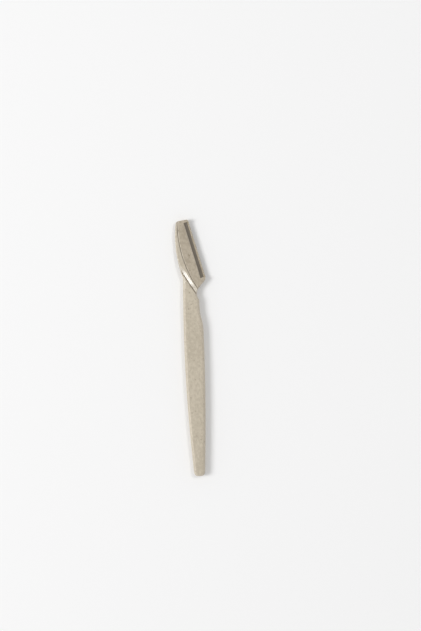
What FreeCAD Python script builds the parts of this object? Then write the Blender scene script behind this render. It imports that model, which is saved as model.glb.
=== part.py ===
import FreeCAD, Part
import math
import os

# Eyebrow razor with a fixed blade, lying on its flat side.
# X runs across the razor towards the cutting edge, Y from the tail to the head and Z up
# through the thickness. The origin lies on the flat underside of the grip, on its axis.
# Stations are measured along the axis from the tail, offsets from the axis. Sizes are in
# millimetres and angles in degrees.

# Grip, seen from above
REST_STATION = 60.0
WAIST_STATION = 114.5
WAIST_OFFSET = 4.5
WAIST_ROUNDING = 10.0
TAIL_WIDTH = 6.0
TAIL_CORNER = 2.2
SPINE_BELLY_STATION = 62.0
SPINE_BELLY_OFFSET = 5.6
PALM_BELLY_STATION = 43.0
PALM_BELLY_OFFSET = 5.2
SHOULDER_OFFSET = 6.0
SHOULDER_ROUNDING = 30.0
FLARE_LENGTH = 8.0
HOLLOW_LENGTH = 7.0
HOLLOW_OFFSET = 4.25
HOLLOW_ROUNDING = 20.0
CUSP_ROUNDING = 2.0
NOTCH_RADIUS = 5.4
NOTCH_OFFSET = 3.05

# Grip, through its thickness
GRIP_THICKNESS = 4.8
GRIP_ROUNDING = 1.7

# Neck, slanted on both faces: a step down from the grip, and a thumb rest that slopes on to the head
NECK_BELOW_WAIST = 5.7
NECK_ANGLE = 31.5
STEP_WIDTH = 0.85
STEP_CREST = 0.3
STEP_HOLLOW = 0.5
REST_WIDTH = 1.6
REST_SHARE = 0.45
REST_BURIED = 0.1

# Head
HEAD_THICKNESS = 2.8
HEAD_ROUNDING = 0.75
SPINE_CROWN_RISE = 22.7
SPINE_CROWN_OFFSET = 8.1
TOP_SPINE_OFFSET = 7.2
TOP_ANGLE = 7.6
TOP_CORNER = 2.0
TOE_WIDTH = 1.4
TOE_CORNER = 1.2
HEEL_WIDTH = 1.4
HEEL_ANGLE = 42.0
HEEL_CORNER = 3.2

# Blade, and the window of the head in which it shows
BLADE_ANGLE = 14.5
WINDOW_OFFSET = 5.6
WINDOW_LENGTH = 33.2
WINDOW_BEVEL = 0.3
BLADE_THICKNESS = 0.25
BLADE_TANG = 3.2
BLADE_EXPOSURE = 2.75
BLADE_BEVEL = 0.9
BLADE_CAPTURE = 0.7
BLADE_CLEARANCE = 0.1

# Cover plate, with its curved seam towards the spine
SEAM_RADIUS = 68.0
SEAM_RISE = 30.0
SEAM_OFFSET = 6.5
SEAM_CLEARANCE = 0.25
PLATE_PROUD = 0.15
PLATE_ROUNDING = 0.6

# Studs of the handle, through the blade into sockets of the plate
STUD_COUNT = 3
STUD_DIAMETER = 1.5
STUD_INSET = 3.2
STUD_HOLE_CLEARANCE = 0.1
STUD_SOCKET_CLEARANCE = 0.03
SOCKET_SKIN = 0.5

# Edge guard, a comb folded over the cutting edge
GUARD_WIDTH = 1.0
GUARD_LIP = 0.2
GUARD_THICKNESS = 0.85
GUARD_RAIL = 0.3
GUARD_SLOT = 0.4
GUARD_PITCH = 1.0
GUARD_CLEARANCE = 0.04

# Heights that follow from the sizes
MID = GRIP_THICKNESS / 2
HEAD_BOTTOM = MID - HEAD_THICKNESS / 2
HEAD_TOP = MID + HEAD_THICKNESS / 2
SEAT = MID - BLADE_THICKNESS / 2
FLOOR = MID + BLADE_THICKNESS / 2
PLATE_TOP = HEAD_TOP + PLATE_PROUD
EDGE_LINE = BLADE_EXPOSURE + GUARD_LIP

# Thumb rest: its share of the neck's fall and its slope, which runs on under the head's rounded rim
REST_FALL = (GRIP_THICKNESS - HEAD_TOP) * REST_SHARE
REST_SLOPE = math.atan2(REST_FALL, REST_WIDTH)
REST_DIP = HEAD_ROUNDING + REST_BURIED
NECK_WIDTH = STEP_WIDTH + REST_WIDTH + REST_DIP / math.tan(REST_SLOPE)

# How far a cutting tool runs past what it cuts, how deep a rounding bites into the flat that
# it leaves, and how close counts as touching
PAST = 1.0
BITE = 0.002
TOUCH = 1e-4

Vector = FreeCAD.Vector
UP = Vector(0, 0, 1)


def place(station, offset):
    """Point on the underside at a station along the axis and an offset towards the edge."""
    return Vector(offset, station - REST_STATION, 0)


def heading(degrees):
    """Pair of directions: along a line leaning from the axis to the spine, and out to the edge side."""
    lean = math.radians(degrees)
    along = Vector(-math.sin(lean), math.cos(lean), 0)
    out = Vector(math.cos(lean), math.sin(lean), 0)
    return along, out


BLADE_ALONG, BLADE_OUT = heading(BLADE_ANGLE)
NECK_ALONG, NECK_OUT = heading(NECK_ANGLE)
WINDOW_CORNER = place(WAIST_STATION, WINDOW_OFFSET)
NECK_CROSSING = place(WAIST_STATION - NECK_BELOW_WAIST, 0)


def on_blade(along, out, height=0.0):
    """Point in the blade's own axes, from the heel end of the window's inner border."""
    return WINDOW_CORNER + BLADE_ALONG * along + BLADE_OUT * out + UP * height


def blade_block(along, out, height):
    """Block lined up with the blade, from pairs of limits along it, out from it and in height."""
    corners = [
        on_blade(along[0], out[0], height[0]),
        on_blade(along[1], out[0], height[0]),
        on_blade(along[1], out[1], height[0]),
        on_blade(along[0], out[1], height[0]),
    ]
    face = Part.Face(Part.makePolygon(corners + corners[:1]))
    return face.extrude(UP * (height[1] - height[0]))


def blade_prism(profile, along):
    """Prism along the blade, from a profile of distances out from it and heights."""
    corners = [on_blade(along[0], out, height) for out, height in profile]
    section = Part.Face(Part.makePolygon(corners + corners[:1]))
    return section.extrude(BLADE_ALONG * (along[1] - along[0]))


def on_neck(out, height):
    """Point at the spine end of the neck, from a distance towards the head and a height."""
    return NECK_CROSSING + NECK_OUT * out + UP * height - NECK_ALONG * WAIST_STATION


def neck_turn(centre, radius, slope):
    """Point of a rounding in the neck's section, where it has a slope. A hollow's radius is negative."""
    return on_neck(centre[0] + radius * math.sin(slope), centre[1] + radius * math.cos(slope))


def neck_arc(centre, radius, first, last):
    """Rounding in the neck's section from its first slope to its last."""
    slopes = (first, (first + last) / 2, last)
    return Part.Arc(*[neck_turn(centre, radius, slope) for slope in slopes]).toShape()


def neck_prism(edges):
    """Prism along the whole neck, from the edges of its section at the spine end."""
    return Part.Face(Part.Wire(edges)).extrude(NECK_ALONG * WAIST_STATION * 2)


def level_edges(solid, height):
    """Edges of a solid that lie flat at one height."""
    found = []
    for edge in solid.Edges:
        box = edge.BoundBox
        if abs(box.ZMin - height) < TOUCH and abs(box.ZMax - height) < TOUCH:
            found.append(edge)
    return found


def upright_edges(solid, corner):
    """Upright edges of a solid that stand over a corner of its outline."""
    found = []
    for edge in solid.Edges:
        spread = [math.hypot(v.X - corner.x, v.Y - corner.y) for v in edge.Vertexes]
        if max(spread) < TOUCH:
            found.append(edge)
    return found


def outline():
    """Outer edges of the razor from above, and its corners with their roundings."""
    half_tail = TAIL_WIDTH / 2
    tail_spine = place(0, -half_tail)
    tail_palm = place(0, half_tail)
    waist = place(WAIST_STATION, -WAIST_OFFSET)

    # The top runs from the toe to the spine, a little out of square with the axis.
    toe = on_blade(WINDOW_LENGTH + TOE_WIDTH, EDGE_LINE)
    drop = (toe.x + TOP_SPINE_OFFSET) * math.tan(math.radians(TOP_ANGLE))
    top = Vector(-TOP_SPINE_OFFSET, toe.y - drop, 0)

    # The heel's lower edge runs tangent into the round finger notch.
    heel = on_blade(-HEEL_WIDTH, EDGE_LINE)
    heel_along, notch_out = heading(-HEEL_ANGLE)
    run = (heel.x + NOTCH_RADIUS * (notch_out.x - 1) - NOTCH_OFFSET) / heel_along.x
    root = heel - heel_along * run
    notch_centre = root + notch_out * NOTCH_RADIUS
    notch_bottom = notch_centre - Vector(NOTCH_RADIUS, 0, 0)
    rise = notch_centre.x - HOLLOW_OFFSET
    cusp = Vector(HOLLOW_OFFSET, notch_centre.y - math.sqrt(NOTCH_RADIUS**2 - rise**2), 0)

    # Below the notch the palm side has a shallow hollow and flares to the grip's full width.
    hollow = cusp - Vector(0, HOLLOW_LENGTH, 0)
    shoulder = Vector(SHOULDER_OFFSET, hollow.y - FLARE_LENGTH, 0)

    spine_belly = place(SPINE_BELLY_STATION, -SPINE_BELLY_OFFSET)
    spine_crown = place(WAIST_STATION + SPINE_CROWN_RISE, -SPINE_CROWN_OFFSET)
    palm_belly = place(PALM_BELLY_STATION, PALM_BELLY_OFFSET)
    edges = [
        Part.Arc(tail_spine, spine_belly, waist).toShape(),
        Part.Arc(waist, spine_crown, top).toShape(),
        Part.makeLine(top, toe),
        Part.makeLine(toe, heel),
        Part.makeLine(heel, root),
        Part.Arc(root, notch_bottom, cusp).toShape(),
        Part.makeLine(cusp, hollow),
        Part.makeLine(hollow, shoulder),
        Part.Arc(shoulder, palm_belly, tail_palm).toShape(),
        Part.makeLine(tail_palm, tail_spine),
    ]
    corners = [
        (tail_spine, TAIL_CORNER),
        (tail_palm, TAIL_CORNER),
        (waist, WAIST_ROUNDING),
        (top, TOP_CORNER),
        (toe, TOE_CORNER),
        (heel, HEEL_CORNER),
        (cusp, CUSP_ROUNDING),
        (hollow, HOLLOW_ROUNDING),
        (shoulder, SHOULDER_ROUNDING),
    ]
    return edges, corners


def slab(bottom, top):
    """The razor's whole outline with rounded corners, as a slab between two heights."""
    edges, corners = outline()
    solid = Part.Face(Part.Wire(edges)).extrude(UP * (top - bottom))
    for corner, radius in corners:
        solid = solid.makeFillet(radius, upright_edges(solid, corner))
    solid.translate(UP * bottom)
    return solid


def beyond(station):
    """Block that holds everything on the head's side of a station."""
    width = WAIST_STATION
    block = Part.makeBox(2 * width, 2 * width, GRIP_THICKNESS + 2 * PAST)
    block.translate(place(station, -width) - UP * PAST)
    return block


def window(bottom, top):
    """Room in which the blade shows, open towards the edge, with its inner border bevelled."""
    profile = [
        (-WINDOW_BEVEL, bottom),
        (0, bottom + WINDOW_BEVEL),
        (0, top - WINDOW_BEVEL),
        (-WINDOW_BEVEL, top),
        (-WINDOW_BEVEL, top + PAST),
        (EDGE_LINE + PAST, top + PAST),
        (EDGE_LINE + PAST, bottom - PAST),
        (-WINDOW_BEVEL, bottom - PAST),
    ]
    return blade_prism(profile, (0, WINDOW_LENGTH))


def seam_disc(radius, bottom, top):
    """Disc whose rim is the curved seam of the cover plate."""
    centre = place(WAIST_STATION + SEAM_RISE, SEAM_RADIUS - SEAM_OFFSET)
    return Part.makeCylinder(radius, top - bottom, centre + UP * bottom, UP)


def stud_places():
    """Points along the middle of the tang where the studs stand."""
    step = (WINDOW_LENGTH - 2 * STUD_INSET) / (STUD_COUNT - 1)
    return [on_blade(STUD_INSET + step * i, -BLADE_TANG / 2) for i in range(STUD_COUNT)]


def guard_room():
    """Pockets for the ends of the edge guard, in the heel and the toe."""
    spare = BLADE_CAPTURE + BLADE_CLEARANCE
    half = GUARD_THICKNESS / 2 + GUARD_CLEARANCE
    along = (-spare, WINDOW_LENGTH + spare)
    out = (EDGE_LINE - GUARD_WIDTH - GUARD_CLEARANCE, EDGE_LINE + PAST)
    return blade_block(along, out, (MID - half, MID + half))


def blade_room():
    """Shallow seat for the blade, with its ends under the heel and the toe."""
    spare = BLADE_CAPTURE + BLADE_CLEARANCE
    along = (-spare, WINDOW_LENGTH + spare)
    out = (-BLADE_TANG - BLADE_CLEARANCE, EDGE_LINE + PAST)
    return blade_block(along, out, (SEAT, FLOOR))


def past_neck():
    """Everything beyond the buried end of the neck."""
    low = -PAST
    high = GRIP_THICKNESS + PAST
    far = WAIST_STATION
    corners = [
        on_neck(NECK_WIDTH, low),
        on_neck(far, low),
        on_neck(far, high),
        on_neck(NECK_WIDTH, high),
    ]
    return neck_prism(Part.makePolygon(corners + corners[:1]).Edges)


def over_neck():
    """Room above the upper face of the neck: a rounded step, and the thumb rest that dips into the head."""
    top = GRIP_THICKNESS + BITE
    crest = ((0, top - STEP_CREST), STEP_CREST)
    across = STEP_WIDTH + STEP_HOLLOW * math.sin(REST_SLOPE)
    height = HEAD_TOP + REST_FALL + STEP_HOLLOW * math.cos(REST_SLOPE)
    hollow = ((across, height), -STEP_HOLLOW)
    foot = on_neck(NECK_WIDTH, HEAD_TOP - REST_DIP)

    # The straight part of the step touches its crest and its hollow.
    down = top - STEP_CREST - height
    rounding = STEP_CREST + STEP_HOLLOW
    straight = math.sqrt(across**2 + down**2 - rounding**2)
    steep = math.atan2(down, across) + math.atan2(rounding, straight)

    above = top + PAST
    corners = [foot, on_neck(NECK_WIDTH, above), on_neck(0, above), neck_turn(*crest, 0)]
    edges = [
        neck_arc(*crest, 0, steep),
        Part.makeLine(neck_turn(*crest, steep), neck_turn(*hollow, steep)),
        neck_arc(*hollow, steep, REST_SLOPE),
        Part.makeLine(neck_turn(*hollow, REST_SLOPE), foot),
    ]
    return neck_prism(edges + Part.makePolygon(corners).Edges)


def make_grip():
    """Thick grip with rounded edges, ending in the neck."""
    grip = slab(0, GRIP_THICKNESS).cut(beyond(WAIST_STATION + SPINE_CROWN_RISE))
    end = grip.BoundBox.YMax
    rims = level_edges(grip, 0) + level_edges(grip, GRIP_THICKNESS)
    rims = [edge for edge in rims if edge.BoundBox.YMin < end - TOUCH]
    grip = grip.makeFillet(GRIP_ROUNDING, rims)
    upper = over_neck()
    lower = upper.mirror(UP * MID, UP)
    return grip.cut(past_neck()).cut(upper).cut(lower)


def make_head():
    """Thin head with rounded edges and its window, running on into the grip."""
    start = WAIST_STATION - NECK_BELOW_WAIST - NOTCH_RADIUS
    head = slab(HEAD_BOTTOM, HEAD_TOP).common(beyond(start))
    begin = head.BoundBox.YMin
    rims = level_edges(head, HEAD_BOTTOM) + level_edges(head, HEAD_TOP)
    rims = [edge for edge in rims if edge.BoundBox.YMax > begin + TOUCH]
    return head.makeFillet(HEAD_ROUNDING, rims).cut(window(HEAD_BOTTOM, HEAD_TOP))


def make_handle():
    """One moulding: grip, head backing, plate recess, blade seat, guard pockets and studs."""
    handle = make_grip().fuse(make_head()).removeSplitter()
    handle = handle.cut(seam_disc(SEAM_RADIUS + SEAM_CLEARANCE, FLOOR, GRIP_THICKNESS + PAST))
    handle = handle.cut(blade_room()).cut(guard_room())
    tip = PLATE_TOP - SOCKET_SKIN - BLADE_CLEARANCE
    for point in stud_places():
        stud = Part.makeCylinder(STUD_DIAMETER / 2, tip - SEAT, point + UP * SEAT, UP)
        handle = handle.fuse(stud)
    return handle.removeSplitter()


def make_cover_plate():
    """Crescent plate that fills the recess and clamps the blade, a little proud of the head."""
    disc = seam_disc(SEAM_RADIUS, FLOOR, PLATE_TOP)
    disc = disc.makeFillet(PLATE_ROUNDING, level_edges(disc, PLATE_TOP))
    sheet = slab(FLOOR, PLATE_TOP)
    sheet = sheet.makeFillet(PLATE_ROUNDING, level_edges(sheet, PLATE_TOP))
    plate = sheet.common(disc).cut(window(HEAD_BOTTOM, PLATE_TOP)).cut(guard_room())
    radius = STUD_DIAMETER / 2 + STUD_SOCKET_CLEARANCE
    for point in stud_places():
        socket = Part.makeCylinder(radius, PLATE_TOP - SOCKET_SKIN - FLOOR, point + UP * FLOOR, UP)
        plate = plate.cut(socket)
    return plate


def make_blade():
    """Steel strip with a ground double bevel and holes for the studs."""
    half = BLADE_THICKNESS / 2
    profile = [
        (-BLADE_TANG, MID - half),
        (BLADE_EXPOSURE - BLADE_BEVEL, MID - half),
        (BLADE_EXPOSURE, MID),
        (BLADE_EXPOSURE - BLADE_BEVEL, MID + half),
        (-BLADE_TANG, MID + half),
    ]
    blade = blade_prism(profile, (-BLADE_CAPTURE, WINDOW_LENGTH + BLADE_CAPTURE))
    radius = STUD_DIAMETER / 2 + STUD_HOLE_CLEARANCE
    for point in stud_places():
        blade = blade.cut(Part.makeCylinder(radius, GRIP_THICKNESS, point, UP))
    return blade


def make_edge_guard():
    """Comb that wraps the cutting edge, with slots that let hairs reach it."""
    half = GUARD_THICKNESS / 2
    inner = EDGE_LINE - GUARD_WIDTH
    ends = (-BLADE_CAPTURE, WINDOW_LENGTH + BLADE_CAPTURE)
    guard = blade_block(ends, (inner, EDGE_LINE), (MID - half, MID + half))
    gap = BLADE_THICKNESS / 2 + GUARD_CLEARANCE
    through = (ends[0] - PAST, ends[1] + PAST)
    channel = (inner - PAST, BLADE_EXPOSURE + GUARD_CLEARANCE)
    guard = guard.cut(blade_block(through, channel, (MID - gap, MID + gap)))
    count = int((WINDOW_LENGTH - GUARD_PITCH) / GUARD_PITCH)
    first = (WINDOW_LENGTH - (count - 1) * GUARD_PITCH - GUARD_SLOT) / 2
    slots = []
    for i in range(count):
        start = first + i * GUARD_PITCH
        along = (start, start + GUARD_SLOT)
        slots.append(blade_block(along, (inner + GUARD_RAIL, EDGE_LINE + PAST), (0, GRIP_THICKNESS)))
    return guard.cut(Part.makeCompound(slots)).common(slab(0, GRIP_THICKNESS))


def main():
    """Build every piece and write it to its own file."""
    os.makedirs("parts", exist_ok=True)
    pieces = {
        "handle": make_handle(),
        "blade": make_blade(),
        "cover_plate": make_cover_plate(),
        "edge_guard": make_edge_guard(),
    }
    for name, shape in pieces.items():
        solids = shape.Solids
        print(name, len(solids), round(shape.Volume, 2), shape.isValid())
        piece = solids[0] if len(solids) == 1 else shape
        piece.exportStep("parts/" + name + ".step")


main()
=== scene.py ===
import logging
import math
from dataclasses import dataclass
from enum import Enum
from typing import Any, Union

import bmesh
import bpy
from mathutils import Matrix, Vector


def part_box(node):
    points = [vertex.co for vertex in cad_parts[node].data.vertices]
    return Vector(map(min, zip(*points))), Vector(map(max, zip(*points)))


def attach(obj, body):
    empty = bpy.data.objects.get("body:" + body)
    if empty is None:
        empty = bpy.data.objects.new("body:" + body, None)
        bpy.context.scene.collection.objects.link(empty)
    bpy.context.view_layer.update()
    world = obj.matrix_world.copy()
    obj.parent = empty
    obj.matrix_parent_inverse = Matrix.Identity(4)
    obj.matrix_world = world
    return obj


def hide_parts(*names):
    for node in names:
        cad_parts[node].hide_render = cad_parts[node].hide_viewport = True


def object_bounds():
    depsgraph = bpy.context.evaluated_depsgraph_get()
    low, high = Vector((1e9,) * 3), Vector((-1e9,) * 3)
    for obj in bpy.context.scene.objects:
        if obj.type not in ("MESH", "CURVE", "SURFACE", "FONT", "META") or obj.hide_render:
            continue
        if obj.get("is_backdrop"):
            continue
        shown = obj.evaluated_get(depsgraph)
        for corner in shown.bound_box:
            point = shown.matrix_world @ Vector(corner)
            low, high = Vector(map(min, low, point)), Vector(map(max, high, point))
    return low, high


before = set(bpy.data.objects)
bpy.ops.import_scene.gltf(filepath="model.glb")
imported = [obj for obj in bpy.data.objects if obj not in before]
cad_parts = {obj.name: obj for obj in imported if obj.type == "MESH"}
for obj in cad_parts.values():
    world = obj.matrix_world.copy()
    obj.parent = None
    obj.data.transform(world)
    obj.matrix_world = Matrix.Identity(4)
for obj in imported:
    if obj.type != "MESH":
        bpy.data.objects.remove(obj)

# Looks of an eyebrow razor that lies flat: speckled moulded plastic round a ground steel blade.
# Lengths are metres and angles degrees. X runs across the razor to its cutting edge, Y from the
# tail to the head, and Z up from the face that it lies on.

LOG = logging.getLogger("eyebrow_razor")
BODY = "root"
MM = 0.001
HALF = 0.5
PICTURE = (421, 631)

Colour = tuple[float, float, float, float]
Size = tuple[float, float, float]
Point = tuple[float, float, float]
Number = Union[float, "Field"]
Finish = Union["StrawPlastic", "GroundSteel"]


def srgb(red: int, green: int, blue: int) -> Colour:
    """Turns a colour as a screen shows it into the one that light is reckoned in.

    Args:
        red: Red of the screen colour, 0 to 255.
        green: Green of the screen colour, 0 to 255.
        blue: Blue of the screen colour, 0 to 255.

    Returns:
        Linear red, green and blue, and a full alpha.
    """
    shares = [channel / 255 for channel in (red, green, blue)]
    # The curve of screen colours is straight near black, and a power above.
    linear = [s / 12.92 if s <= 0.04045 else ((s + 0.055) / 1.055) ** 2.4 for s in shares]
    return linear[0], linear[1], linear[2], 1.0


class Sum(Enum):
    """Sums of a Math node that a finish uses."""

    ADD = "ADD"
    SUBTRACT = "SUBTRACT"
    MULTIPLY = "MULTIPLY"
    DIVIDE = "DIVIDE"
    ABSOLUTE = "ABSOLUTE"
    GREATER = "GREATER_THAN"


class Field:
    """Number that changes over a surface: a socket, with Python's operators as Math nodes."""

    def __init__(self, graph: "Graph", socket: bpy.types.NodeSocket) -> None:
        """Wraps a socket of a graph."""
        self.graph = graph
        self.socket = socket

    def _sum(self, kind: Sum, first: Number, second: Number = 0.0, clamp: bool = False) -> "Field":
        """Adds a Math node.

        Args:
            kind: What the node works out.
            first: Its first number.
            second: Its second number, which a sum of one number leaves alone.
            clamp: Whether the answer is kept between 0 and 1.

        Returns:
            The answer.
        """
        settings = {"operation": kind.value, "use_clamp": clamp}
        node = self.graph.node("ShaderNodeMath", settings, {0: first, 1: second})
        return Field(self.graph, node.outputs[0])

    def __add__(self, other: Number) -> "Field":
        """self + other."""
        return self._sum(Sum.ADD, self, other)

    def __radd__(self, other: float) -> "Field":
        """other + self."""
        return self._sum(Sum.ADD, other, self)

    def __sub__(self, other: Number) -> "Field":
        """self - other."""
        return self._sum(Sum.SUBTRACT, self, other)

    def __rsub__(self, other: float) -> "Field":
        """other - self."""
        return self._sum(Sum.SUBTRACT, other, self)

    def __mul__(self, other: Number) -> "Field":
        """self * other."""
        return self._sum(Sum.MULTIPLY, self, other)

    def __rmul__(self, other: float) -> "Field":
        """other * self."""
        return self._sum(Sum.MULTIPLY, other, self)

    def __truediv__(self, other: Number) -> "Field":
        """self / other."""
        return self._sum(Sum.DIVIDE, self, other)

    def __rtruediv__(self, other: float) -> "Field":
        """other / self."""
        return self._sum(Sum.DIVIDE, other, self)

    def __abs__(self) -> "Field":
        """Size of self without its sign."""
        return self._sum(Sum.ABSOLUTE, self)

    def __gt__(self, other: Number) -> "Field":
        """1 where self is more than other, and 0 elsewhere."""
        return self._sum(Sum.GREATER, self, other)

    def clamped(self) -> "Field":
        """Self, kept between 0 and 1."""
        return self._sum(Sum.ADD, self, 0.0, clamp=True)


class Graph:
    """Nodes of one material or of the world."""

    RAGGED_DETAIL = 2.0

    def __init__(self, owner: Union[bpy.types.Material, bpy.types.World]) -> None:
        """Starts an empty tree of nodes in its owner."""
        owner.use_nodes = True
        self.tree = owner.node_tree
        self.tree.nodes.clear()

    def node(self, kind: str, settings: dict[str, Any], sockets: dict[Any, Any]) -> bpy.types.Node:
        """Adds any node.

        Args:
            kind: The node's type.
            settings: Its own settings, which are set first.
            sockets: Values or links for its inputs, by index, identifier or name.

        Returns:
            The node.
        """
        node = self.tree.nodes.new(kind)
        for setting, value in settings.items():
            setattr(node, setting, value)
        for key, value in sockets.items():
            socket = self._pick(node.inputs, key)
            source = value.socket if isinstance(value, Field) else value
            if isinstance(source, bpy.types.NodeSocket):
                self.tree.links.new(source, socket)
            else:
                socket.default_value = source
        return node

    @staticmethod
    def _pick(sockets: Any, key: Union[int, str]) -> bpy.types.NodeSocket:
        """The one of a node's sockets with that index, identifier or name."""
        if isinstance(key, int):
            return sockets[key]
        return next(socket for socket in sockets if key in (socket.identifier, socket.name))

    def field(self, node: bpy.types.Node, output: Union[int, str]) -> Field:
        """An output of a node, as a number to reckon with."""
        return Field(self, self._pick(node.outputs, output))

    def blend(self, share: Number, under: Any, over: Any) -> bpy.types.NodeSocket:
        """Mixes two colours.

        Args:
            share: How much of the second colour shows, 0 to 1.
            under: The first colour.
            over: The second colour.

        Returns:
            The mixed colour.
        """
        sockets = {"Factor_Float": share, "A_Color": under, "B_Color": over}
        node = self.node("ShaderNodeMix", {"data_type": "RGBA"}, sockets)
        return self._pick(node.outputs, "Result_Color")

    def place(self) -> bpy.types.NodeSocket:
        """Place on the razor, in metres."""
        return self.node("ShaderNodeTexCoord", {}, {}).outputs["Object"]

    def height_of(self, vector: bpy.types.NodeSocket) -> Field:
        """The upright part of a vector."""
        return self.field(self.node("ShaderNodeSeparateXYZ", {}, {0: vector}), "Z")

    def facing_up(self) -> Field:
        """How far a surface faces up or down: 1 on the flats and 0 on the walls."""
        return abs(self.height_of(self.node("ShaderNodeTexCoord", {}, {}).outputs["Normal"]))

    def scaled(self, size: Size, turn: float = 0.0) -> bpy.types.NodeSocket:
        """Place on the razor, counted in steps along turned axes.

        Args:
            size: Step along each axis.
            turn: How far the axes are turned about the upright one.

        Returns:
            The place in steps.
        """
        rotation = (0, 0, math.radians(turn))
        sockets = {"Vector": self.place(), "Rotation": rotation, "Scale": size}
        return self.node("ShaderNodeMapping", {"vector_type": "TEXTURE"}, sockets).outputs[0]

    def ragged(
        self, place: bpy.types.NodeSocket, fineness: float, reach: float
    ) -> bpy.types.NodeSocket:
        """Moves a place about at random, so that a pattern there has ragged borders.

        Args:
            place: The place in steps of the pattern.
            fineness: How many times the move changes in a step.
            reach: How far the place moves at most, in steps.

        Returns:
            The moved place.
        """
        sockets = {"Vector": place, "Scale": fineness, "Detail": self.RAGGED_DETAIL}
        move = self.node("ShaderNodeTexNoise", {}, sockets).outputs["Color"]
        sockets = {0: move, 1: (reach, reach, reach), 2: place}
        return self.node("ShaderNodeVectorMath", {"operation": "MULTIPLY_ADD"}, sockets).outputs[0]

    def noise(self, size: Size, detail: float, turn: float = 0.0) -> Field:
        """Cloudy pattern around a half.

        Args:
            size: Size of its clouds along each axis.
            detail: How many finer layers it has.
            turn: How far its axes are turned about the upright one.

        Returns:
            The pattern, from 0 to 1.
        """
        sockets = {"Vector": self.scaled(size, turn), "Scale": 1.0, "Detail": detail}
        return self.field(self.node("ShaderNodeTexNoise", {}, sockets), 0)

    def bump(self, height: Field, depth: float) -> bpy.types.NodeSocket:
        """Normal of a surface that a pattern raises by a depth."""
        return self.node("ShaderNodeBump", {}, {"Distance": depth, "Height": height}).outputs[0]

    def cover(self, sockets: dict[str, Any]) -> None:
        """Ends a material with a surface that has these values and links."""
        shader = self.node("ShaderNodeBsdfPrincipled", {}, sockets)
        self.node("ShaderNodeOutputMaterial", {}, {"Surface": shader.outputs[0]})


@dataclass(frozen=True)
class Flecks:
    """One kind of straw bits in the plastic.

    Attributes:
        colour: Their colour.
        width: Room of one bit across.
        length: Room of one bit along.
        turn: How far they lie turned from the length of the razor.
        share: Share of the rooms that hold a bit.
        strength: How strongly they show.
    """

    colour: Colour
    width: float
    length: float
    turn: float
    share: float
    strength: float

    # How much of its room the largest bit fills, how soft its border is and how ragged, and the
    # least size and depth of a bit as shares of the greatest.
    FILL = 0.36
    BORDER = 0.16
    FINENESS = 2.4
    REACH = 0.7
    LEAST_SIZE = 0.4
    LEAST_DEPTH = 0.45

    def mask(self, graph: Graph) -> Field:
        """Draws the bits in a graph, and returns their strength in a bit and 0 beside it."""
        room = graph.scaled((self.width, self.length, self.width), self.turn)
        room = graph.ragged(room, self.FINENESS, self.REACH)
        sockets = {"Vector": room, "Scale": 1.0}
        cells = graph.node("ShaderNodeTexVoronoi", {"feature": "F1"}, sockets)
        draw = graph.node("ShaderNodeSeparateColor", {}, {"Color": cells.outputs["Color"]})
        held = graph.field(draw, "Red") > 1 - self.share
        size = self.LEAST_SIZE + (1 - self.LEAST_SIZE) * graph.field(draw, "Green")
        depth = self.LEAST_DEPTH + (1 - self.LEAST_DEPTH) * graph.field(draw, "Blue")
        away = graph.field(cells, "Distance")
        inside = ((self.FILL * size - away) / self.BORDER).clamped()
        return inside * held * depth * self.strength


@dataclass(frozen=True)
class Polish:
    """A place that the thumb's rubbing keeps smooth.

    Attributes:
        centre: Its middle.
        full: How far from the middle it is fully smooth.
        end: How far from the middle it has faded out.
        gloss: How much gloss it adds.
    """

    centre: Point
    full: float
    end: float
    gloss: float

    def mask(self, graph: Graph) -> Field:
        """Draws the place in a graph, from its gloss in the middle to 0 outside."""
        sockets = {0: graph.place(), 1: self.centre}
        measure = graph.node("ShaderNodeVectorMath", {"operation": "DISTANCE"}, sockets)
        away = graph.field(measure, "Value")
        return ((self.end - away) / (self.end - self.full)).clamped() * self.gloss


@dataclass(frozen=True)
class Crease:
    """A hollow across the upper and the lower face, darkened with painted shade.

    Attributes:
        colour: Colour of the painted shade.
        centre: Point of its middle line, half way up the razor.
        heading: Which way is across it, turned from the cutting edge's side towards the head.
        reach: How far the painted shade reaches from the middle line.
        height: Least height of the hollow, over and under the centre.
        fade: How far the painted shade takes to fade in.
        strength: How strongly it shows.
    """

    colour: Colour
    centre: Point
    heading: float
    reach: float
    height: float
    fade: float
    strength: float

    def mask(self, graph: Graph) -> Field:
        """Draws the painted shade in a graph, and returns its strength in the hollow and 0 beside
        it.
        """
        sockets = {0: graph.place(), 1: self.centre}
        offset = graph.node("ShaderNodeVectorMath", {"operation": "SUBTRACT"}, sockets).outputs[0]
        turn = math.radians(self.heading)
        sockets = {0: offset, 1: (math.cos(turn), math.sin(turn), 0)}
        across = graph.node("ShaderNodeVectorMath", {"operation": "DOT_PRODUCT"}, sockets)
        near = (self.reach - abs(graph.field(across, "Value"))) / self.fade
        high = (abs(graph.height_of(offset)) - self.height) / self.fade
        return near.clamped() * high.clamped() * self.strength


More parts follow.
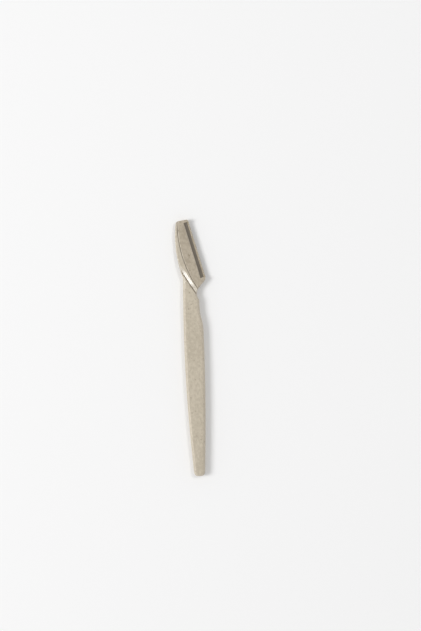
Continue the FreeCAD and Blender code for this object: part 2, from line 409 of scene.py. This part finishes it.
@dataclass(frozen=True)
class StrawPlastic:
    """Moulded plastic filled with ground straw.

    Attributes:
        name: Name of the finish.
        body: Main colour.
        cloud: Colour of its darker clouds.
        rim: Paler colour of the rounded edges: wear from the mould and from hands, and a painted
            highlight.
        flecks: Kinds of straw bits in it.
        roughness: How dull it is.
        skin: Gloss of the skin that the mould leaves.
        polish: Places that rubbing keeps smooth.
        shaded_creases: Hollows darkened with painted shade.
        parting: Height of the line where the mould closed.
    """

    name: str
    body: Colour
    cloud: Colour
    rim: Colour
    flecks: tuple[Flecks, ...]
    roughness: float
    skin: float
    polish: tuple[Polish, ...]
    shaded_creases: tuple[Crease, ...]
    parting: float

    # Clouds and finer mottling of the colour, and the grain of the mould
    CLOUD_SIZE = (9 * MM, 16 * MM, 9 * MM)
    CLOUD_DETAIL = 3.0
    CLOUD_SPREAD = 1.6
    MOTTLE_SIZE = (1.1 * MM, 1.6 * MM, 1.1 * MM)
    MOTTLE_DETAIL = 2.0
    MOTTLE_SPREAD = 3.0
    GRAIN_SIZE = (0.35 * MM, 0.5 * MM, 0.35 * MM)
    GRAIN_DETAIL = 2.0
    GRAIN_DEPTH = 0.006 * MM
    GRAIN_DULLNESS = 0.16

    # Rounded edges, worn and with a painted highlight: how pale they are, least and over the
    # clouds, and how much smoother
    RIM_SHARE = 0.35
    RIM_LEAST = 0.4
    RIM_SMOOTHNESS = 0.06

    # Mould line: its width, how upright a wall has to be to show it, how pale and high it is
    PARTING_WIDTH = 0.07 * MM
    PARTING_WALL = 0.8
    PARTING_SHARE = 0.5
    PARTING_RELIEF = 4.0

    # Height of a bit over the grain, and how light passes the skin and the plastic under it
    FLECK_RELIEF = 0.4
    SKIN_LEAST = 0.7
    SKIN_SPREAD = 0.6
    SKIN_ROUGHNESS = 0.17
    REFRACTION = 1.5
    SHINE = 0.15

    def _parting_line(self, graph: Graph, wall: Field) -> Field:
        """Draws the line of the mould round the walls.

        Args:
            graph: Graph that it is drawn in.
            wall: 1 on walls, and 0 on flats.

        Returns:
            1 on the line, and 0 beside it.
        """
        off = abs(graph.height_of(graph.place()) - self.parting)
        return (1 - off / self.PARTING_WIDTH).clamped() * (wall > self.PARTING_WALL)

    def material(self) -> bpy.types.Material:
        """Makes the finish."""
        made = bpy.data.materials.new(self.name)
        graph = Graph(made)
        up = graph.facing_up()
        line = self._parting_line(graph, 1 - up)
        # A rounded edge faces half up: 4 brings the product there to 1.
        rim = (4 * up * (1 - up)).clamped()
        cloud = graph.noise(self.CLOUD_SIZE, self.CLOUD_DETAIL)
        mottle = graph.noise(self.MOTTLE_SIZE, self.MOTTLE_DETAIL)
        grain = graph.noise(self.GRAIN_SIZE, self.GRAIN_DETAIL)
        tone = self.CLOUD_SPREAD * (cloud - HALF) + self.MOTTLE_SPREAD * (mottle - HALF)
        colour = graph.blend((HALF + tone).clamped(), self.body, self.cloud)
        relief = grain
        for kind in self.flecks:
            mask = kind.mask(graph)
            colour = graph.blend(mask, colour, kind.colour)
            relief = relief + mask * self.FLECK_RELIEF
        # Painted highlight and wear: the rounded edges are made paler.
        rubbed_and_highlight = rim * (self.RIM_LEAST + cloud) * self.RIM_SHARE
        pale = (rubbed_and_highlight + line * self.PARTING_SHARE).clamped()
        colour = graph.blend(pale, colour, self.rim)
        gloss = self.skin * (self.SKIN_LEAST + self.SKIN_SPREAD * cloud)
        for spot in self.polish:
            gloss = gloss + spot.mask(graph)
        # Painted shade: the hollow of the neck's step is darkened and loses its gloss.
        for hollow in self.shaded_creases:
            painted_shade = (hollow.mask(graph) * (mottle + grain)).clamped()
            colour = graph.blend(painted_shade, colour, hollow.colour)
            gloss = gloss * (1 - painted_shade)
        dullness = self.GRAIN_DULLNESS * (grain - HALF) - self.RIM_SMOOTHNESS * rim
        graph.cover(
            {
                "Base Color": colour,
                "Roughness": self.roughness + dullness,
                "Coat Weight": gloss,
                "Coat Roughness": self.SKIN_ROUGHNESS,
                "Normal": graph.bump(relief + line * self.PARTING_RELIEF, self.GRAIN_DEPTH),
                "IOR": self.REFRACTION,
                "Specular IOR Level": self.SHINE,
            }
        )
        return made


@dataclass(frozen=True)
class GroundSteel:
    """Rolled steel strip with a ground edge.

    Attributes:
        name: Name of the finish.
        body: Colour of the rolled face.
        ground: Colour of the ground bevel.
        turn: How far the strip is turned from the length of the razor.
    """

    name: str
    body: Colour
    ground: Colour
    turn: float

    # Streaks of the rolling along the strip and of the grinding across it, and stains
    ROLL_SIZE = (0.12 * MM, 9 * MM, 0.12 * MM)
    ROLL_DETAIL = 4.0
    ROLL_SPREAD = 1.5
    GRIND_SIZE = (2 * MM, 0.06 * MM, 2 * MM)
    GRIND_DETAIL = 3.0
    STAIN_SIZE = (2 * MM, 5 * MM, 2 * MM)
    STAIN_DETAIL = 2.0
    STAIN_SPREAD = 0.6
    STREAK_START = 0.4
    STREAK_DARKNESS = 0.62
    DEPTH = 0.002 * MM

    # Ground bevel: how sharply it starts, and how much of its colour shows at least
    BEVEL_START = 400
    GROUND_LEAST = 0.4
    ROUGHNESS = 0.3
    ROLL_DULLNESS = 0.16
    BEVEL_SMOOTHNESS = 0.06

    def material(self) -> bpy.types.Material:
        """Makes the finish."""
        made = bpy.data.materials.new(self.name)
        graph = Graph(made)
        roll = graph.noise(self.ROLL_SIZE, self.ROLL_DETAIL, self.turn)
        grind = graph.noise(self.GRIND_SIZE, self.GRIND_DETAIL, self.turn)
        stain = graph.noise(self.STAIN_SIZE, self.STAIN_DETAIL, self.turn)
        bevel = ((1 - graph.facing_up()) * self.BEVEL_START - 1.0).clamped()
        streaks = roll * self.ROLL_SPREAD + stain * self.STAIN_SPREAD - self.STREAK_START
        dark = tuple(self.STREAK_DARKNESS * channel for channel in self.body[:3]) + (1.0,)
        face = graph.blend(streaks.clamped(), dark, self.body)
        shown = self.GROUND_LEAST + (1 - self.GROUND_LEAST) * grind
        graph.cover(
            {
                "Base Color": graph.blend(bevel * shown, face, self.ground),
                "Metallic": 1.0,
                "Roughness": (
                    self.ROUGHNESS + self.ROLL_DULLNESS * roll - self.BEVEL_SMOOTHNESS * bevel
                ),
                "Normal": graph.bump(roll * (1 - bevel) + grind * bevel, self.DEPTH),
            }
        )
        return made


@dataclass(frozen=True)
class FloorPaint:
    """Plain pale paint of the floor.

    Attributes:
        colour: Its colour.
        roughness: How dull it is.
    """

    colour: Colour = (0.93, 0.93, 0.93, 1.0)
    roughness: float = 0.9

    def material(self) -> bpy.types.Material:
        """Makes the finish."""
        made = bpy.data.materials.new("floor_paint")
        sockets = {"Base Color": self.colour, "Roughness": self.roughness}
        Graph(made).cover(sockets | {"Specular IOR Level": 0.0})
        return made


@dataclass
class Piece:
    """A piece of the razor that keeps the shape of its solid.

    Attributes:
        node: Name of its solid.
        finish: What it is made of.
    """

    node: str
    finish: Finish

    def build(self) -> bpy.types.Object:
        """Dresses the solid and returns it."""
        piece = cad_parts[self.node]
        material = self.finish.material()
        for slot in piece.material_slots:
            slot.material = material
        return piece


@dataclass
class EdgeGuard(Piece):
    """The comb over the cutting edge, with the soft corners of a moulding.

    Attributes:
        softness: Rounding of the corners of its teeth.
        steps: Faces across a rounding.
        sharp: Least angle of an edge that is rounded.
        flat: Greatest angle between faces that count as one.
        touch: How close points are that count as one.
    """

    softness: float = 0.07 * MM
    steps: int = 2
    sharp: float = 30.0
    flat: float = 1.0
    touch: float = 0.001 * MM

    def build(self) -> bpy.types.Object:
        """Rounds a copy of the solid, dresses it and returns it."""
        work = bmesh.new()
        work.from_mesh(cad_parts[self.node].data)
        bmesh.ops.remove_doubles(work, verts=work.verts, dist=self.touch)
        flat = math.radians(self.flat)
        bmesh.ops.dissolve_limit(work, angle_limit=flat, verts=work.verts, edges=work.edges)
        sharp = math.radians(self.sharp)
        bmesh.ops.bevel(
            work,
            geom=[edge for edge in work.edges if edge.calc_face_angle(0.0) > sharp],
            offset=self.softness,
            affect="EDGES",
            segments=self.steps,
            profile=0.5,
            material=-1,
            clamp_overlap=True,
        )
        mesh = bpy.data.meshes.new("guard_comb")
        work.to_mesh(mesh)
        work.free()
        mesh.materials.append(self.finish.material())
        mesh.shade_smooth()
        piece = bpy.data.objects.new("guard_comb", mesh)
        bpy.context.scene.collection.objects.link(piece)
        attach(piece, BODY)
        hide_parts(self.node)
        return piece


@dataclass
class Softbox:
    """A square lamp that faces the razor.

    Attributes:
        name: Name of the lamp.
        azimuth: Where it stands, turned from the cutting edge's side towards the head.
        elevation: How high it stands above the floor.
        distance: How far it stands from the razor.
        width: Length of its sides.
        share: Share of the light on the floor that it gives.
    """

    name: str
    azimuth: float
    elevation: float
    distance: float
    width: float
    share: float

    def build(self, target: Vector) -> bpy.types.Object:
        """Sets up the lamp.

        Args:
            target: Point that it faces.

        Returns:
            The lamp.
        """
        turn = math.radians(self.azimuth)
        rise = math.radians(self.elevation)
        level = math.cos(rise)
        away = Vector((math.cos(turn) * level, math.sin(turn) * level, math.sin(rise)))
        light = bpy.data.lights.new(self.name, "AREA")
        light.shape = "SQUARE"
        light.size = self.width
        light.energy = self.share * (math.pi * self.distance) ** 2 / math.sin(rise)
        lamp = bpy.data.objects.new(self.name, light)
        lamp.location = target + away * self.distance
        lamp.rotation_euler = away.to_track_quat("Z", "Y").to_euler()
        bpy.context.scene.collection.objects.link(lamp)
        return lamp


@dataclass
class Studio:
    """Floor, lamps and the light room around them.

    Attributes:
        floor_radius: Reach of the floor.
        floor_sides: Sides of its edge.
        floor_drop: How far the floor lies under the razor.
        horizon: Light that comes from low down.
        zenith: Light that comes from straight above.
        lamps: The lamps.
    """

    floor_radius: float
    floor_sides: int
    floor_drop: float
    horizon: float
    zenith: float
    lamps: tuple[Softbox, ...]

    def build_floor(self) -> bpy.types.Object:
        """Lays the floor."""
        work = bmesh.new()
        bmesh.ops.create_circle(
            work, cap_ends=True, segments=self.floor_sides, radius=self.floor_radius
        )
        bmesh.ops.translate(work, verts=work.verts, vec=(0, 0, -self.floor_drop))
        mesh = bpy.data.meshes.new("floor")
        work.to_mesh(mesh)
        work.free()
        mesh.materials.append(FloorPaint().material())
        floor = bpy.data.objects.new("floor", mesh)
        bpy.context.scene.collection.objects.link(floor)
        floor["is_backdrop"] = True
        return floor

    def build_sky(self) -> bpy.types.World:
        """Makes the light of the room, bright near the floor and dimmer above."""
        world = bpy.data.worlds.new("room")
        graph = Graph(world)
        direction = graph.node("ShaderNodeTexCoord", {}, {}).outputs["Generated"]
        height = graph.height_of(direction).clamped()
        strength = self.horizon + (self.zenith - self.horizon) * height
        sockets = {"Color": (1, 1, 1, 1), "Strength": strength}
        light = graph.node("ShaderNodeBackground", {}, sockets)
        graph.node("ShaderNodeOutputWorld", {}, {"Surface": light.outputs[0]})
        bpy.context.scene.world = world
        return world

    def build(self, target: Vector) -> None:
        """Sets the stage round a point."""
        self.build_floor()
        self.build_sky()
        for lamp in self.lamps:
            lamp.build(target)


@dataclass
class PhotoCamera:
    """Camera straight above the razor, framed as the photograph is.

    Attributes:
        lens: Focal length in millimetres.
        sensor: Long side of the sensor in millimetres.
        pixel: Length on the razor that one pixel of the picture covers.
        tail: Pixel of the middle of the tail's end.
        lean: How far the razor leans to the left of upright.
    """

    lens: float = 100.0
    sensor: float = 36.0
    pixel: float = 0.579 * MM
    tail: tuple[float, float] = (199.85, 476.0)
    lean: float = 2.6

    def build(self) -> bpy.types.Object:
        """Places the camera and makes it the scene's own."""
        low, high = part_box("handle")
        lean = math.radians(self.lean)
        right = Vector((math.cos(lean), -math.sin(lean), 0))
        up = Vector((math.sin(lean), math.cos(lean), 0))
        across = PICTURE[0] / 2 - self.tail[0]
        rise = self.tail[1] - PICTURE[1] / 2
        tail = Vector((0, low.y, (low.z + high.z) / 2))
        centre = tail + (right * across + up * rise) * self.pixel
        data = bpy.data.cameras.new("camera")
        data.lens = self.lens
        data.sensor_width = self.sensor
        camera = bpy.data.objects.new("camera", data)
        height = self.pixel * PICTURE[1] * self.lens / self.sensor
        camera.location = centre + Vector((0, 0, height))
        camera.rotation_euler = (0, 0, -lean)
        bpy.context.scene.collection.objects.link(camera)
        bpy.context.scene.camera = camera
        return camera


BLADE_ANGLE = 14.5
PARTING_HEIGHT = 2.4 * MM

DARK_BITS = Flecks(
    colour=srgb(124, 109, 88),
    width=1.2 * MM,
    length=1.6 * MM,
    turn=25,
    share=0.28,
    strength=0.8,
)
BROWN_BITS = Flecks(
    colour=srgb(136, 117, 90),
    width=0.7 * MM,
    length=0.9 * MM,
    turn=-40,
    share=0.24,
    strength=0.75,
)
PALE_STRAWS = Flecks(
    colour=srgb(222, 213, 196),
    width=0.6 * MM,
    length=3.2 * MM,
    turn=8,
    share=0.22,
    strength=0.6,
)
THUMB_POLISH = Polish(
    centre=(-1.3 * MM, 55.0 * MM, 4.2 * MM),
    full=3.0 * MM,
    end=5.6 * MM,
    gloss=0.55,
)
# Painted shade along the hollow of the step between grip and head.
NECK_PAINTED_SHADE = Crease(
    colour=srgb(112, 99, 82),
    centre=(0.51 * MM, 49.11 * MM, 2.4 * MM),
    heading=31.5,
    reach=0.55 * MM,
    height=1.6 * MM,
    fade=0.42 * MM,
    strength=0.88,
)

HANDLE_PLASTIC = StrawPlastic(
    name="handle_straw_plastic",
    body=srgb(201, 191, 173),
    cloud=srgb(187, 177, 159),
    # Paler rim: wear and a painted highlight.
    rim=srgb(209, 199, 183),
    flecks=(DARK_BITS, BROWN_BITS, PALE_STRAWS),
    roughness=0.38,
    skin=0.16,
    polish=(THUMB_POLISH,),
    shaded_creases=(NECK_PAINTED_SHADE,),
    parting=PARTING_HEIGHT,
)
PLATE_PLASTIC = StrawPlastic(
    name="plate_straw_plastic",
    body=srgb(186, 175, 157),
    cloud=srgb(168, 157, 139),
    # Much paler rim: painted highlight along the plate's rounded edges, with their wear.
    rim=srgb(232, 223, 207),
    flecks=(DARK_BITS, BROWN_BITS, PALE_STRAWS),
    roughness=0.4,
    skin=0.5,
    polish=(),
    shaded_creases=(),
    parting=PARTING_HEIGHT,
)
GUARD_PLASTIC = StrawPlastic(
    name="guard_plastic",
    body=srgb(184, 171, 145),
    cloud=srgb(173, 159, 133),
    rim=srgb(198, 187, 164),
    flecks=(BROWN_BITS,),
    roughness=0.4,
    skin=0.4,
    polish=(),
    shaded_creases=(),
    parting=PARTING_HEIGHT,
)
BLADE_STEEL = GroundSteel(
    name="blade_steel",
    body=(0.37, 0.325, 0.27, 1.0),
    ground=(0.6, 0.58, 0.55, 1.0),
    turn=BLADE_ANGLE,
)

STUDIO = Studio(
    floor_radius=6.0,
    floor_sides=96,
    floor_drop=0.02 * MM,
    horizon=0.86,
    zenith=0.32,
    lamps=(
        Softbox(
            name="key_left",
            azimuth=180,
            elevation=43,
            distance=2.6,
            width=1.0,
            share=0.37,
        ),
        Softbox(
            name="neck_glint",
            azimuth=31.5,
            elevation=58.4,
            distance=2.4,
            width=0.22,
            share=0.14,
        ),
    ),
)


def main() -> None:
    """Builds the dressed razor, its stage and its camera."""
    logging.basicConfig(level=logging.INFO, format="%(name)s: %(message)s")
    solid_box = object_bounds()
    bpy.context.scene.view_settings.view_transform = "Standard"
    pieces = (
        Piece("handle", HANDLE_PLASTIC),
        Piece("cover_plate", PLATE_PLASTIC),
        Piece("blade", BLADE_STEEL),
        EdgeGuard("edge_guard", GUARD_PLASTIC),
    )
    for piece in pieces:
        made = piece.build()
        LOG.info("%s: %d faces", made.name, len(made.data.polygons))
    STUDIO.build((solid_box[0] + solid_box[1]) / 2)
    PhotoCamera().build()


if __name__ == "__main__":
    main()
